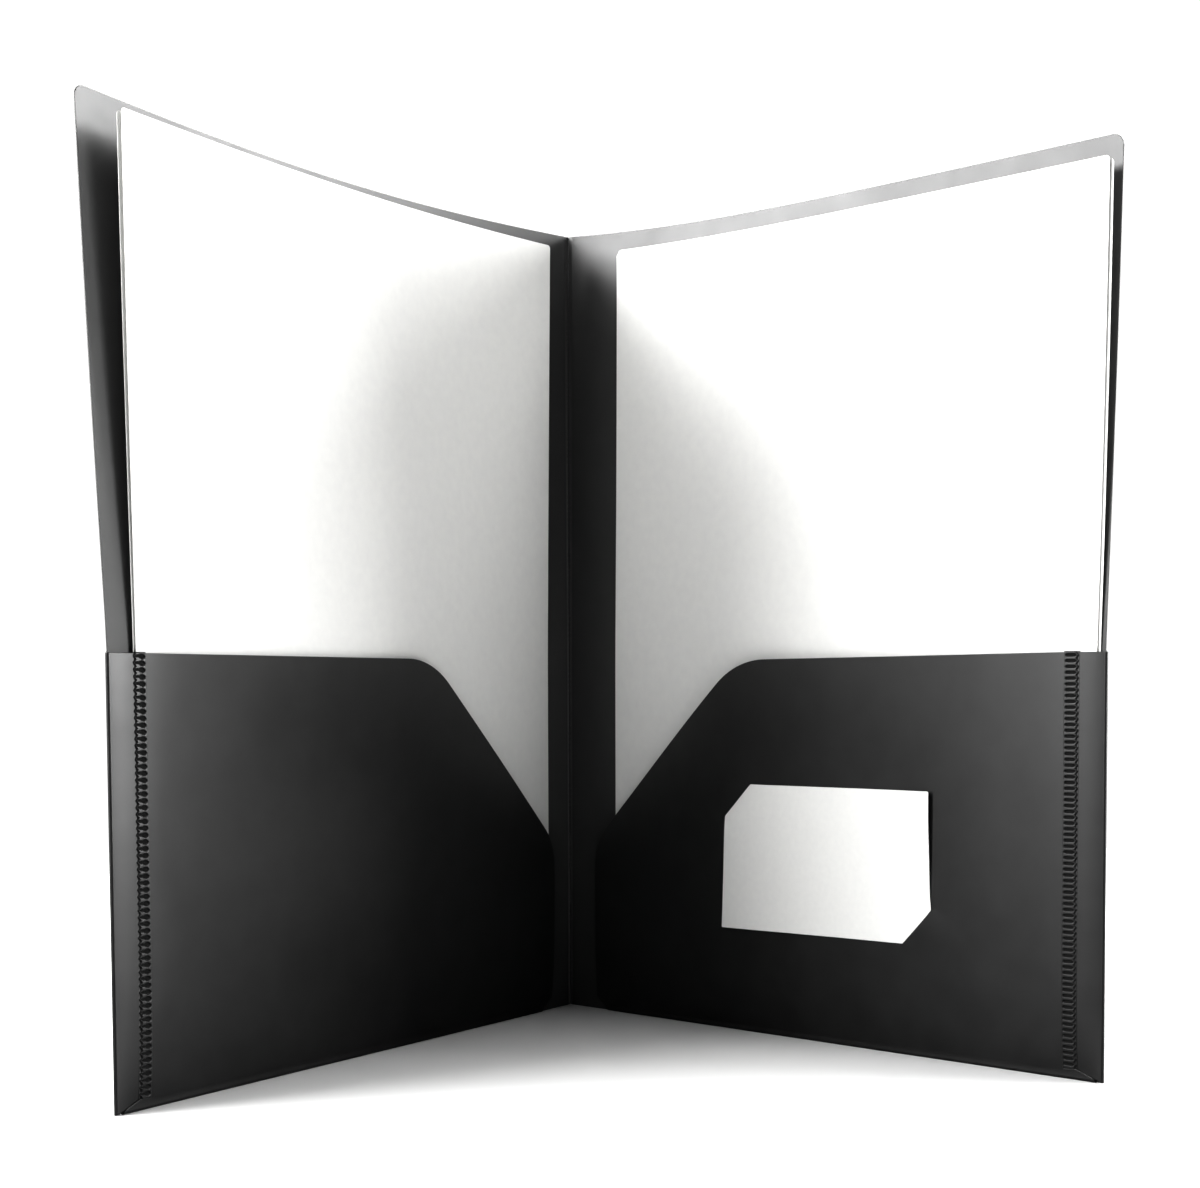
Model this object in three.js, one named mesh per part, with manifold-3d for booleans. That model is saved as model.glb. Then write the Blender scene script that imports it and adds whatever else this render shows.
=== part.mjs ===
// Two pocket document folder, standing open, with loose sheets and a card in its pockets.
// Millimetres, +Z up. Inside one half of the folder, s runs along the cover from the spine crease to
// the side fold, n stands off the cover towards the reader, and z is the height over the table.
import * as THREE from 'three';
import { mergeVertices } from 'three/addons/utils/BufferGeometryUtils.js';
import Module from 'manifold-3d';

const wasm = await Module();
wasm.setup();
const { Manifold } = wasm;

// Driving sizes
const gap = 0.3;
const openAngle = 74.7;
const cover = { width: 243, height: 292, wall: 0.6, cornerRadius: 4 };
const crease = { radius: 0.22, scoreWidth: 1.6 };
const fold = { wall: 0.5, radius: 0.75 };
const pocket = {
  height: 131.6, innerEdge: 17, stepHeight: 63.5, stepEdge: 94,
  stepRadius: 34, innerRadius: 20, crownRun: 9, reliefWidth: 5, reliefHeight: 4,
};
const flap = { width: 16, rise: 1.2, riseRun: 5, mitre: 9 };
const weld = { barLength: 4.2, inset: 0.6, edgeMargin: 9.2, endMargin: 2.4, web: 0.12, ridge: 0.3, seat: 0.1 };
const sheet = { narrower: 27.1, height: 279.4, wall: 0.2, spacing: 0.2, stagger: 0.8 };
const card = { width: 88.9, height: 50.8, wall: 0.3, fromCrease: 89, overTable: 37.4, gap: 0.25, lift: 1.8 };
const slit = { tuck: 11.43, width: 1.9, overrun: 4.2 };

// What differs between the two halves
const left = {
  name: 'left', sign: 1, bars: 65, topRise: 0, lean: 0.8,
  flare: { bow: 75.7, reach: 150, recover: 0.208 },
  bulge: { crest: 1.1, at: 60, inward: 50, outward: 60, tuck: 0.1, tuckRun: 18 },
  stack: { follow: 0.77, stand: 5.1, raised: 6.3, rearEdge: 18.2, frontShift: -2, frontTrim: 0, corner: 1.2 },
};
const right = {
  name: 'right', sign: -1, bars: 72, topRise: 1.4, lean: 0.1,
  flare: { bow: 20.1, reach: 46.4, recover: 0.0427 },
  bulge: { crest: 3.9, at: 85, inward: 45, outward: 50, tuck: 1.2, tuckRun: 18 },
  stack: { follow: 0.93, stand: 4.8, raised: 4.4, rearEdge: 26, frontShift: 1.2, frontTrim: 2.1, corner: 3 },
};

// The covers bend back above the pockets
const curl = { start: 2, softness: 5 };

// Grid steps of the bent sheets
const step = { cover: 15, pocket: 12, paper: 22, card: 15, flap: 16 };

const polypropylene = () => new THREE.MeshStandardMaterial({ color: 0x101113, roughness: 0.34, metalness: 0 });
const foldedEdge = () => new THREE.MeshStandardMaterial({ color: 0x17181a, roughness: 0.3, metalness: 0 });
const meltedSeam = () => new THREE.MeshStandardMaterial({ color: 0x08090a, roughness: 0.22, metalness: 0 });
const writingPaper = () => new THREE.MeshStandardMaterial({ color: 0xf4f4f1, roughness: 0.85, metalness: 0 });
const cardStock = () => new THREE.MeshStandardMaterial({ color: 0xe6e5e1, roughness: 0.6, metalness: 0 });

// Where the pieces meet, worked out from the driving sizes
const foldOuter = fold.radius + fold.wall / 2;
const coverStart = crease.radius + gap;
const foldRoot = cover.width - foldOuter;
const coverEnd = foldRoot - gap;
const pocketEnd = cover.width - weld.edgeMargin;
const pocketStart = pocket.innerEdge;
const foldTop = 2 * fold.radius;
const footTop = foldTop + fold.wall + gap;
const footOuter = footTop / 2 + fold.wall / 2;
const footLine = footOuter + gap;
const sheetWidth = cover.width - sheet.narrower;
const curlStart = pocket.height + curl.start;

// Share of the bend at height z: nothing in the pockets, one at the top edge
function curlAt(z) {
  const reached = (height) => curl.softness * Math.log(1 + Math.exp((height - curlStart) / curl.softness));
  return reached(z) / reached(cover.height);
}

function curlSlope(z) {
  return 1 / (1 + Math.exp((curlStart - z) / curl.softness)) / (cover.height - curlStart);
}

// Each cover also leans back a little, most at its side fold
function leanAt(side, s, z) {
  return side.lean * s / cover.width * z / pocket.height;
}

// How far the top edge of a cover stands back from its foot
function flareDepth({ bow, reach, recover }, s) {
  return bow * (1 - Math.exp(-s / reach)) - recover * s;
}

// Half the integral of the flare's slope squared: what the bow takes off the length along s
function flareShortening({ bow, reach, recover }, s) {
  const steep = bow / reach;
  const fade = Math.exp(-s / reach);
  const squares = steep * steep * reach / 2 * (1 - fade * fade);
  const cross = 2 * steep * recover * reach * (1 - fade);
  return (squares - cross + recover * recover * s) / 2;
}

// A point over the flat blank, moved to where the bend carries it. stand keeps it off the cover.
function curled(side, s, n, z, follow = 1, stand = 0) {
  const share = curlAt(z);
  const depth = flareDepth(side.flare, s) * follow - stand;
  return [
    s - share * share * follow * follow * flareShortening(side.flare, s),
    n - share * depth,
    z - depth * depth * share * curlSlope(z) / 2,
  ];
}

// Middle of the side flap, rising off the side fold
function flapHeight(s) {
  return foldTop + flapRise(s);
}

function flapRise(s) {
  return flap.rise * (1 - Math.exp(-Math.max(foldRoot - s, 0) / flap.riseRun));
}

// Middle of a pocket panel at full bulge: it lies on the flap and swells towards the crease
function bulgeHeight(side, s) {
  const { crest, at, inward, outward, tuck, tuckRun } = side.bulge;
  const away = (s - at) / (s < at ? inward : outward);
  const swell = crest * Math.exp(-away * away);
  return flapHeight(s) + fold.wall + gap + swell - tuck * Math.exp(-(s - pocketStart) / tuckRun);
}

// The bulge grows out of the bottom fold, and is full a few centimetres above it
function grown(z) {
  return 1 - Math.exp(-Math.max(z - footLine, 0) / pocket.crownRun);
}

function pocketHeight(side, s, z) {
  return footTop + (bulgeHeight(side, s) - footTop) * grown(z) - leanAt(side, s, z);
}

// Evenly spaced values from a to b, no further apart than the step, both ends included
function spaced(a, b, most) {
  const count = Math.max(1, Math.ceil((b - a) / most - 1e-6));
  return Array.from({ length: count + 1 }, (unused, i) => a + (b - a) * i / count);
}

// Closed sheet over a grid of s and z. place(s, z, face) gives [s, n, z] of the front face (face = 1)
// or the back face (face = -1). All cells are split along the same diagonal.
function gridSheet(side, columns, rows, place) {
  const wide = columns.length;
  const high = rows.length;
  const points = [];
  for (const face of [1, -1]) {
    for (const z of rows) {
      for (const s of columns) {
        const [ps, pn, pz] = place(s, z, face);
        points.push(ps, side.sign * pn, pz);
      }
    }
  }
  const triangles = [];
  const corner = (face, row, column) => (face > 0 ? 0 : wide * high) + row * wide + column;
  const quad = (a, b, c, d) => {
    if (side.sign > 0) triangles.push(a, c, b, a, d, c);
    else triangles.push(a, b, c, a, c, d);
  };
  for (let row = 0; row < high - 1; row += 1) {
    for (let column = 0; column < wide - 1; column += 1) {
      quad(corner(1, row, column), corner(1, row, column + 1),
        corner(1, row + 1, column + 1), corner(1, row + 1, column));
      quad(corner(-1, row + 1, column + 1), corner(-1, row, column + 1),
        corner(-1, row, column), corner(-1, row + 1, column));
    }
  }
  for (let column = 0; column < wide - 1; column += 1) {
    quad(corner(1, 0, column + 1), corner(1, 0, column), corner(-1, 0, column), corner(-1, 0, column + 1));
    quad(corner(1, high - 1, column), corner(1, high - 1, column + 1),
      corner(-1, high - 1, column + 1), corner(-1, high - 1, column));
  }
  for (let row = 0; row < high - 1; row += 1) {
    quad(corner(1, row, 0), corner(1, row + 1, 0), corner(-1, row + 1, 0), corner(-1, row, 0));
    quad(corner(1, row + 1, wide - 1), corner(1, row, wide - 1),
      corner(-1, row, wide - 1), corner(-1, row + 1, wide - 1));
  }
  const geometry = new THREE.BufferGeometry();
  geometry.setAttribute('position', new THREE.Float32BufferAttribute(points, 3));
  geometry.setIndex(triangles);
  return geometry;
}

function toManifold(geometry) {
  const bare = geometry.clone();
  bare.deleteAttribute('normal');
  bare.deleteAttribute('uv');
  const merged = mergeVertices(bare, 1e-4);
  return new Manifold(new wasm.Mesh({
    numProp: 3,
    vertProperties: new Float32Array(merged.attributes.position.array),
    triVerts: new Uint32Array(merged.index.array),
  }));
}

function toGeometry(solid) {
  const { vertProperties, triVerts, numProp } = solid.getMesh();
  const points = new Float32Array(vertProperties.length / numProp * 3);
  for (let i = 0; i < points.length / 3; i += 1) {
    for (let k = 0; k < 3; k += 1) points[3 * i + k] = vertProperties[numProp * i + k];
  }
  const geometry = new THREE.BufferGeometry();
  geometry.setAttribute('position', new THREE.BufferAttribute(points, 3));
  geometry.setIndex(new THREE.BufferAttribute(new Uint32Array(triVerts), 1));
  return geometry;
}

// Straight cutter: an outline drawn in s and z, carried right through the sheet
function cutter(outline) {
  const reach = 120;
  const geometry = new THREE.ExtrudeGeometry(outline, { depth: reach, bevelEnabled: false, curveSegments: 8 });
  geometry.rotateX(Math.PI / 2);
  geometry.translate(0, reach / 2, 0);
  return toManifold(geometry);
}

function dieCut(geometry, outline) {
  return toGeometry(toManifold(geometry).intersect(cutter(outline)));
}

// Outline with straight sides and rounded corners: each corner is [s, z, radius]
function roundedOutline(corners) {
  const path = new THREE.Shape();
  corners.forEach(([s, z, radius], i) => {
    const here = new THREE.Vector2(s, z);
    const before = new THREE.Vector2(...corners.at(i - 1)).sub(here).normalize();
    const after = new THREE.Vector2(...corners[(i + 1) % corners.length]).sub(here).normalize();
    if (radius === 0) {
      if (i === 0) path.moveTo(s, z);
      else path.lineTo(s, z);
      return;
    }
    const half = before.angleTo(after) / 2;
    const start = here.clone().addScaledVector(before, radius / Math.tan(half));
    const centre = here.clone().addScaledVector(before.clone().add(after).normalize(), radius / Math.sin(half));
    const end = here.clone().addScaledVector(after, radius / Math.tan(half));
    if (i === 0) path.moveTo(start.x, start.y);
    const turn = before.cross(after);
    const from = start.sub(centre).angle();
    const to = end.sub(centre).angle();
    path.absarc(centre.x, centre.y, radius, from, to, turn > 0);
  });
  path.closePath();
  return path;
}

function named(name, geometry, material) {
  geometry.computeVertexNormals();
  const mesh = new THREE.Mesh(geometry, material);
  mesh.name = name;
  return mesh;
}

// Cover: flat behind the pocket, curled back above it, thinned along the scored crease
function makeCover(side) {
  const columns = [coverStart, coverStart + crease.scoreWidth, 8,
    ...spaced(16, coverEnd - cover.cornerRadius, step.cover), coverEnd];
  const rows = [0, footLine, pocket.height / 3, pocket.height * 2 / 3,
    ...spaced(pocket.height, cover.height, step.cover)];
  const surface = gridSheet(side, columns, rows, (s, z, face) => {
    const scored = s === coverStart && face > 0;
    const [cs, cn, cz] = curled(side, s, 0, z);
    return [cs, cn - leanAt(side, s, z) + (scored ? 0 : face * cover.wall / 2), cz];
  });
  const margin = 20;
  const topEdge = coverEnd - curlAt(cover.height) ** 2 * flareShortening(side.flare, coverEnd);
  const drop = cover.height - curled(side, coverEnd, 0, cover.height)[2];
  const corner = cover.cornerRadius;
  const outline = new THREE.Shape();
  outline.moveTo(-margin, 0);
  outline.lineTo(pocketStart - gap, 0);
  outline.lineTo(pocketStart - gap, footLine);
  outline.lineTo(pocketEnd + gap, footLine);
  outline.lineTo(pocketEnd + gap, 0);
  outline.lineTo(coverEnd + margin, 0);
  outline.lineTo(coverEnd + margin, cover.height - drop - corner);
  outline.lineTo(topEdge, cover.height - drop - corner);
  outline.absarc(topEdge - corner, cover.height - drop - corner, corner, 0, Math.PI / 2, false);
  outline.lineTo(topEdge - corner, cover.height + margin);
  outline.lineTo(-margin, cover.height + margin);
  outline.closePath();
  return named(`${side.name}_cover`, dieCut(surface, outline), polypropylene());
}

// Pocket panel: straight top edge, sloping cut down to the low inner edge, clear of the crease
function makePocket(side) {
  const bottom = footLine;
  const top = pocket.height + side.topRise;
  const columns = spaced(pocketStart, pocketEnd, step.pocket);
  const rows = [bottom, bottom + 3, bottom + 7, bottom + 12, bottom + 20,
    ...spaced(bottom + 32, top, step.pocket)];
  const surface = gridSheet(side, columns, rows,
    (s, z, face) => [s, pocketHeight(side, s, z) + face * fold.wall / 2, z]);
  const outline = roundedOutline([
    [pocketStart, bottom + pocket.reliefHeight, 0],
    [pocketStart + pocket.reliefWidth, bottom, 0],
    [pocketEnd, bottom, 0],
    [pocketEnd, top, 0],
    [pocket.stepEdge, pocket.height, pocket.stepRadius],
    [pocketStart, pocket.stepHeight, pocket.innerRadius],
  ]);
  return { surface, outline };
}

// Round ended slit along the tucked corner of the card
function slitOutline(s, z) {
  const half = slit.tuck / 2 + slit.overrun / Math.SQRT2;
  const turn = Math.PI / 4;
  const path = new THREE.Path();
  path.absarc(s + half, z + half, slit.width / 2, turn - Math.PI / 2, turn + Math.PI / 2, false);
  path.absarc(s - half, z - half, slit.width / 2, turn + Math.PI / 2, turn + Math.PI * 3 / 2, false);
  path.closePath();
  return path;
}

function cardSlits() {
  const topCorner = slitOutline(card.fromCrease + slit.tuck / 2, card.overTable + card.height - slit.tuck / 2);
  const lowCorner = slitOutline(card.fromCrease + card.width - slit.tuck / 2, card.overTable + slit.tuck / 2);
  return [topCorner, lowCorner];
}

// U-shaped fold along the foot of a pocket
function makeBottomFold(side) {
  const profile = new THREE.Shape();
  profile.absarc(0, 0, footOuter, Math.PI, Math.PI * 2, false);
  profile.absarc(0, 0, footOuter - fold.wall, Math.PI * 2, Math.PI, true);
  profile.closePath();
  const from = pocketStart + pocket.reliefWidth;
  const geometry = new THREE.ExtrudeGeometry(profile,
    { depth: pocketEnd - from, bevelEnabled: false, curveSegments: 8 });
  geometry.rotateX(Math.PI / 2);
  geometry.rotateZ(Math.PI / 2);
  geometry.translate(from, side.sign * footTop / 2, footOuter);
  return named(`${side.name}_bottom_fold`, geometry, foldedEdge());
}

// Side flap: turns over at the cover's side edge and slopes up under the pocket panel
function makeSideFlap(side) {
  const outer = [];
  const inner = [];
  const half = fold.wall / 2;
  const bend = 8;
  for (let i = 0; i <= bend; i += 1) {
    const turn = -Math.PI / 2 + Math.PI * i / bend;
    outer.push([foldRoot + (fold.radius + half) * Math.cos(turn),
      fold.radius + (fold.radius + half) * Math.sin(turn)]);
    inner.push([foldRoot + (fold.radius - half) * Math.cos(turn),
      fold.radius + (fold.radius - half) * Math.sin(turn)]);
  }
  for (const s of spaced(foldRoot - flap.width, foldRoot, 2.7).reverse().slice(1)) {
    outer.push([s, flapHeight(s) + half]);
    inner.push([s, flapHeight(s) - half]);
  }
  const profile = new THREE.Shape();
  [...outer, ...inner.reverse()].forEach(([s, n], i) => {
    if (i === 0) profile.moveTo(s, side.sign * n);
    else profile.lineTo(s, side.sign * n);
  });
  profile.closePath();
  const top = pocket.height + side.topRise;
  const steps = Math.ceil(top / step.flap);
  const geometry = new THREE.ExtrudeGeometry(profile, { depth: top, steps, bevelEnabled: false });
  const points = geometry.attributes.position;
  for (let i = 0; i < points.count; i += 1) {
    const [s, n, z] = [points.getX(i), side.sign * points.getY(i), points.getZ(i)];
    const sunk = n > foldTop - fold.wall ? flapRise(s) * (1 - grown(z)) : 0;
    points.setY(i, side.sign * (n - sunk - leanAt(side, s, z)));
  }
  const mitreTop = flap.mitre * flap.width / (flap.width + foldOuter);
  const outline = new THREE.Shape();
  outline.moveTo(cover.width + 1, 0);
  outline.lineTo(cover.width + 1, top + 1);
  outline.lineTo(foldRoot - flap.width - 1, top + 1);
  outline.lineTo(foldRoot - flap.width - 1, mitreTop);
  outline.lineTo(cover.width - 0.4, 0);
  outline.closePath();
  return named(`${side.name}_side_flap`, dieCut(geometry, outline), foldedEdge());
}

// Ladder of melted bars that joins the pocket panel to the flap, in one strip with a ridge per bar
function makeWeld(side) {
  const first = pocketEnd - weld.barLength - weld.inset;
  const lowest = footLine + flap.mitre;
  const highest = pocket.height + side.topRise - weld.endMargin;
  const halfPitch = (highest - lowest) / (side.bars - 1) / 2;
  const rows = spaced(lowest - halfPitch, highest + halfPitch, halfPitch);
  const surface = gridSheet(side, [first, first + weld.barLength], rows, (s, z, face) => {
    const seat = pocketHeight(side, s, z) + fold.wall / 2 + weld.seat;
    const onBar = Math.round((z - lowest) / halfPitch) % 2 === 0;
    return [s, seat + (face > 0 ? weld.web + (onBar ? weld.ridge : 0) : 0), z];
  });
  return named(`${side.name}_weld_seam`, surface, meltedSeam());
}

// Loose sheet behind the pocket panel. layer 0 lies on the cover, layer 1 on layer 0. The top corners
// of the grid are pulled in to the middle of the rounded corner.
function makeSheet(side, name, layer) {
  const { follow, stand, raised, rearEdge, frontShift, frontTrim, corner } = side.stack;
  const rear = layer === 0;
  const from = rear ? rearEdge : rearEdge + frontShift;
  const to = from + sheetWidth - (rear ? 0 : frontTrim);
  const low = raised - (rear ? sheet.stagger : 0);
  const high = low + sheet.height;
  const middle = cover.wall / 2 + sheet.spacing + sheet.wall / 2 + layer * (sheet.wall + sheet.spacing);
  const columns = [from, from + corner, ...spaced(from + corner, to - corner, step.paper).slice(1, -1),
    to - corner, to];
  const rows = [low, pocket.height / 2, ...spaced(pocket.height, high - corner, step.paper), high];
  const clip = corner * (1 - Math.SQRT1_2);
  const surface = gridSheet(side, columns, rows, (s, z, face) => {
    const rounded = z === high && (s === from || s === to);
    const ps = rounded ? s + (s === from ? clip : -clip) : s;
    const [cs, cn, cz] = curled(side, ps, middle, rounded ? z - clip : z, follow, stand);
    return [cs, cn + face * sheet.wall / 2, cz];
  });
  return named(`${side.name}_${name}`, surface, writingPaper());
}

// Business card: its top inner corner and its low outer corner pass behind the pocket panel, and its
// low inner corner stands off a little.
// The square cells near the corners put the slanting step through each slit on the grid's diagonals.
function makeCard(side) {
  const cell = slit.tuck / 4.5;
  const fine = cell * 6;
  const columns = [...spaced(0, fine, cell), ...spaced(fine, card.width - fine, step.card).slice(1, -1),
    ...spaced(card.width - fine, card.width, cell)];
  const rows = [...spaced(0, fine, cell), ...spaced(fine, card.height - fine, step.card).slice(1, -1),
    ...spaced(card.height - fine, card.height, cell)];
  const clear = fold.wall / 2 + card.gap + card.wall / 2;
  const surface = gridSheet(side, columns, rows, (s, z, face) => {
    const tuckTop = s + card.height - z;
    const tuckLow = card.width - s + z;
    const leg = Math.min(tuckTop, tuckLow);
    const through = THREE.MathUtils.clamp((leg - slit.tuck) / (cell / 2), -1, 1);
    const ps = s + card.fromCrease;
    const pz = z + card.overTable;
    const free = Math.max(1 - s / card.width - z / card.height, 0);
    const lift = card.lift * free * free;
    return [ps, pocketHeight(side, ps, pz) + through * clear + lift + face * card.wall / 2, pz];
  });
  return named('business_card', surface, cardStock());
}

function makeHalf(side) {
  const half = new THREE.Group();
  const panel = makePocket(side);
  if (side === right) panel.outline.holes.push(...cardSlits());
  half.add(makeCover(side));
  half.add(makeBottomFold(side));
  half.add(makeSideFlap(side));
  half.add(named(`${side.name}_pocket`, dieCut(panel.surface, panel.outline), polypropylene()));
  half.add(makeWeld(side));
  half.add(makeSheet(side, 'rear_sheet', 0));
  half.add(makeSheet(side, 'front_sheet', 1));
  if (side === right) half.add(makeCard(side));
  half.rotation.z = THREE.MathUtils.degToRad(-90 - side.sign * openAngle / 2);
  return half;
}

function makeCrease() {
  const geometry = new THREE.CylinderGeometry(crease.radius, crease.radius, cover.height, 10);
  geometry.rotateX(Math.PI / 2);
  geometry.translate(0, 0, cover.height / 2);
  return named('spine_crease', geometry, foldedEdge());
}

const folder = new THREE.Group();
folder.add(makeHalf(left));
folder.add(makeHalf(right));
folder.add(makeCrease());

// The origin is put under the middle of the standing folder
folder.updateMatrixWorld(true);
const middle = new THREE.Box3().setFromObject(folder, true).getCenter(new THREE.Vector3());
folder.position.set(-middle.x, -middle.y, 0);
console.log('crease stands at', (-middle.x).toFixed(4), (-middle.y).toFixed(4));

export default folder;
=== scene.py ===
import math
import bpy
import numpy as np
from mathutils import Matrix, Vector
from mathutils.geometry import delaunay_2d_cdt


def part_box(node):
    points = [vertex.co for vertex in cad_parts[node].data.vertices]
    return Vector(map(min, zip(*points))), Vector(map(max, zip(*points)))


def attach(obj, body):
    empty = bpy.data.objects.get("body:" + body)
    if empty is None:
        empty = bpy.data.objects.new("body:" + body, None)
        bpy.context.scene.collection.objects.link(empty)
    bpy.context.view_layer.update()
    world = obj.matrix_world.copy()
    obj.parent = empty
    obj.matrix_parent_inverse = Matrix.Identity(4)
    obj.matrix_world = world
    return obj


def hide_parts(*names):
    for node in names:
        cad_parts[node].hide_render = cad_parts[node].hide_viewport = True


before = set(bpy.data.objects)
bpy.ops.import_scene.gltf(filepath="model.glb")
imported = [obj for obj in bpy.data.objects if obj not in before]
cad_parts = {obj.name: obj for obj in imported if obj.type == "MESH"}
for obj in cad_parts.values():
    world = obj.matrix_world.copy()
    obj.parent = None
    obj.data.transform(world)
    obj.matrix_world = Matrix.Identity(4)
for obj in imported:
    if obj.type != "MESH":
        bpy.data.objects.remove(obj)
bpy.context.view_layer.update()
mm = 0.001

# A pocket folder of one black blank, standing open, with loose letter sheets and a card. Each half is worked
# out in millimetres: s runs along the cover from the crease to the side fold, n stands off the cover towards
# the reader, and z is the height over the table.
folder = {
    "opening": 74.7,        # degrees between the covers
    "width": 243.0, "height": 292.0, "corner": 4.0,
    "wall": 0.5,            # one thickness all over, since it is one blank
    "foldRadius": 0.45,     # middle of the side fold
    "footTop": 1.6,         # middle of the pocket panel over the middle of the cover, at the foot
    "lap": 0.55,            # middle of the pocket panel over the middle of the flap
    "creaseEdge": 0.3,      # where a cover starts, beside the crease
    "pocketHeight": 131.6, "pocketStart": 17.0,
    "crownFrom": 0.3, "crownRun": 11.0,        # where the pocket starts to fill out over the foot, its run
    "flapRise": 1.9, "flapRun": 8.0,           # how far the flap springs off the cover, and over what width
    "curlStart": 133.6, "curlSoftness": 5.0,   # the covers curl back from this height
}
halves = {
    "left": {
        "sign": 1,
        "topRise": 0.0,                               # the pocket's top is higher by this at its outer end
        "lean": 0.8,                                  # how far the outer side leans back at the pocket's top
        "flare": (75.7, 150.0, 0.208),                # the curl's bow, reach and recovery
        "bulge": (1.1, 60.0, 50.0, 60.0, 0.1, 18.0),  # the pocket's crest, where, two runs; tuck, its run
        "follow": 0.77, "stand": 5.1,                 # the sheets' share of the curl, their stand off it
        "raised": 6.3, "rearEdge": 17.2,              # the sheets' foot and the rear one's inner edge
        "frontShift": -0.4, "frontTrim": 0.0,         # the front one beside it, and how much narrower
        "paperCorner": 1.2,
        "settle": 0.9, "gather": 0.0,                 # the rear one lies back, bowing draws both in low down
    },
    "right": {
        "sign": -1, "topRise": 1.4, "lean": 0.1,
        "flare": (20.1, 46.4, 0.0427),
        "bulge": (3.9, 85.0, 45.0, 50.0, 1.2, 18.0),
        "follow": 0.93, "stand": 4.8, "raised": 4.4, "rearEdge": 26.0, "frontShift": 1.2, "frontTrim": 2.1,
        "paperCorner": 1.4, "settle": 0.3, "gather": 2.8,
    },
}
foldRoot = folder["width"] - folder["foldRadius"] - folder["wall"] / 2
footStart = folder["footTop"] / 2 + folder["wall"] / 2     # the foot's half round ends at this height
footLine = footStart + folder["crownFrom"]
joinRim = 0.004     # rim radius where a panel runs on into its neighbour
touching = 0.01     # nearer than this counts as on the line
creaseLow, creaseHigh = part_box("spine_crease")
creaseAt = np.array([(creaseLow.x + creaseHigh.x) / 2, (creaseLow.y + creaseHigh.y) / 2, 0.0]) / mm


# Shape of the halves

def curlAt(z):
    reached = lambda height: np.logaddexp(0, (height - folder["curlStart"]) / folder["curlSoftness"])
    return reached(z) / reached(folder["height"])


def curlSlope(z):
    steep = 1 / (1 + np.exp((folder["curlStart"] - z) / folder["curlSoftness"]))
    return steep / (folder["height"] - folder["curlStart"])


def leanAt(side, s, z):
    return side["lean"] * s / folder["width"] * z / folder["pocketHeight"]


def curled(side, s, n, z, follow=1.0, stand=0.0):     # where the bend carries a point of the flat blank
    bow, reach, recover = side["flare"]
    steep, fade, share = bow / reach, np.exp(-s / reach), curlAt(z)
    depth = (bow * (1 - fade) - recover * s) * follow - stand
    bowed = steep ** 2 * reach / 2 * (1 - fade ** 2)
    short = bowed - 2 * steep * recover * reach * (1 - fade) + recover ** 2 * s     # what the bend takes up
    return s - (share * follow) ** 2 * short / 2, n - share * depth, z - depth ** 2 * share * curlSlope(z) / 2


def grown(z):     # the pocket's bulge grows out of the foot
    return 1 - np.exp(-np.maximum(z - footLine, 0) / folder["crownRun"])


def flapRise(s):
    return folder["flapRise"] * (1 - np.exp(-np.maximum(foldRoot - s, 0) / folder["flapRun"]))


def pocketMiddle(side, s, z):
    crest, at, inward, outward, tuck, tuckRun = side["bulge"]
    swell = crest * np.exp(-((s - at) / np.where(s < at, inward, outward)) ** 2)
    tucked = tuck * np.exp(-(s - folder["pocketStart"]) / tuckRun)
    full = 2 * folder["foldRadius"] + flapRise(s) + folder["lap"] + swell - tucked
    return folder["footTop"] + (full - folder["footTop"]) * grown(z) - leanAt(side, s, z)


def toWorld(side, s, n, z):     # millimetres in a half to millimetres in the row's frame
    turn = math.radians(-90 - side["sign"] * folder["opening"] / 2)
    y = side["sign"] * n
    across = s * math.cos(turn) - y * math.sin(turn)
    deep = s * math.sin(turn) + y * math.cos(turn)
    return np.stack([across, deep, z + 0 * s], axis=-1) + creaseAt


# Making of thin panels

def spread(a, b, pitch):
    return np.linspace(a, b, max(1, math.ceil(abs(b - a) / pitch - 1e-6)) + 1)


def graded(a, b, pitch, zones=()):     # even steps, finer inside each zone (from, to, pitch)
    stops, at = [], a
    for low, high, fine in sorted(zones):
        if low > at:
            stops.append(spread(at, low, pitch))
        stops.append(spread(max(low, at), high, fine))
        at = high
    if at < b:
        stops.append(spread(at, b, pitch))
    return np.unique(np.round(np.concatenate(stops), 5))


def roundedLoop(corners, pitch):     # closed outline, each corner is (s, z, radius)
    points, starts, ends = [], [], []
    count = len(corners)
    longestStep = 0.45      # round an arc, as a share of its radius
    for i, (s, z, radius) in enumerate(corners):
        here = np.array([s, z], float)
        before = np.array(corners[i - 1][:2], float) - here
        after = np.array(corners[(i + 1) % count][:2], float) - here
        before, after = before / np.linalg.norm(before), after / np.linalg.norm(after)
        half = math.acos(np.clip(before @ after, -1, 1)) / 2
        bisector = before + after
        if radius <= 0 or np.linalg.norm(bisector) < 1e-6:
            starts.append(here)
            ends.append(here)
            points.append([here])
            continue
        centre = here + bisector / np.linalg.norm(bisector) * radius / math.sin(half)
        start, end = here + before * radius / math.tan(half), here + after * radius / math.tan(half)
        a0, a1 = math.atan2(*(start - centre)[::-1]), math.atan2(*(end - centre)[::-1])
        swing = (a1 - a0 + math.pi) % (2 * math.pi) - math.pi
        steps = max(3, math.ceil(abs(swing) * radius / min(pitch, radius * longestStep)))
        turns = [a0 + swing * k / steps for k in range(steps + 1)]
        starts.append(start)
        ends.append(end)
        points.append([centre + radius * np.array([math.cos(turn), math.sin(turn)]) for turn in turns])
    loop = []
    for i in range(count):
        loop.extend(points[i])
        a, b = ends[i], starts[(i + 1) % count]
        steps = max(1, math.ceil(np.linalg.norm(b - a) / pitch))
        loop.extend(a + (b - a) * k / steps for k in range(1, steps))
    loop = np.array(loop)
    keep = np.linalg.norm(loop - np.roll(loop, 1, axis=0), axis=1) > 1e-4
    return loop[keep]


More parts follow.
